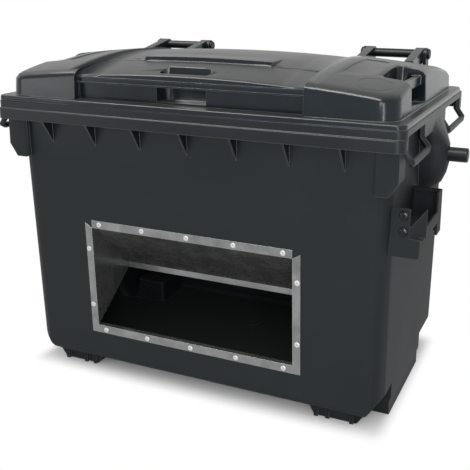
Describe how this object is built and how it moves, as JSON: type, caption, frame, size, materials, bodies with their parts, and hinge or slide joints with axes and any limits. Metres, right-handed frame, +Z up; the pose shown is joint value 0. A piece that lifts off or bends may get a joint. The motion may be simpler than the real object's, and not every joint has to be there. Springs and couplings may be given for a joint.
{
  "type": "grit bin",
  "caption": "Dark grey moulded grit bin on feet, with a domed lid hinged at the rear, a riveted galvanised chute in its front, side trunnions and a lifting receiver on its right",
  "frame": {"origin": "on the ground under the middle of the bin's box", "axes": "+X to the right as seen from the front, +Y to the rear, +Z up; the chute faces -Y"},
  "size_m": [1.37, 0.775, 0.9678],
  "materials": {
    "body_plastic": "moulded polyethylene, satin",
    "lid_plastic": "moulded polyethylene, low gloss",
    "black_plastic": "smooth black plastic",
    "galvanised_sheet": "galvanised, spangled",
    "bright_metal": "bright, plain",
    "dark_steel": "blackened, smooth"
  },
  "bodies": {
    "bin": {"tub": "body_plastic", "receiver_right": "body_plastic", "drain_plug": "black_plastic", "trunnion_left": "black_plastic", "trunnion_right": "black_plastic", "hinge_rod_left": "black_plastic", "hinge_rod_right": "black_plastic", "hinge_cap_left_inner": "black_plastic", "hinge_cap_left_outer": "black_plastic", "hinge_cap_right_inner": "black_plastic", "hinge_cap_right_outer": "black_plastic", "chute_hood": "galvanised_sheet", "chute_sill": "galvanised_sheet", "chute_cheek_left": "galvanised_sheet", "chute_cheek_right": "galvanised_sheet", "rivet_top_1": "bright_metal", "rivet_top_2": "bright_metal", "rivet_top_3": "bright_metal", "rivet_top_4": "bright_metal", "rivet_top_5": "bright_metal", "rivet_bottom_1": "bright_metal", "rivet_bottom_2": "bright_metal", "rivet_bottom_3": "bright_metal", "rivet_bottom_4": "bright_metal", "rivet_bottom_5": "bright_metal", "rivet_left_upper": "bright_metal", "rivet_left_lower": "bright_metal", "rivet_right_upper": "bright_metal", "rivet_right_lower": "bright_metal", "receiver_bolt_right_1": "dark_steel", "receiver_bolt_right_2": "dark_steel", "receiver_nut_right_1": "dark_steel", "receiver_nut_right_2": "dark_steel"},
    "lid": {"lid": "lid_plastic"}
  },
  "joints": [
    {"name": "lid_hinge", "type": "hinge", "parent": "bin", "child": "lid", "pos_m": [0, 0.3675, 0.943], "axis": [-1, 0, 0], "range_deg": [0, 250]}
  ]
}
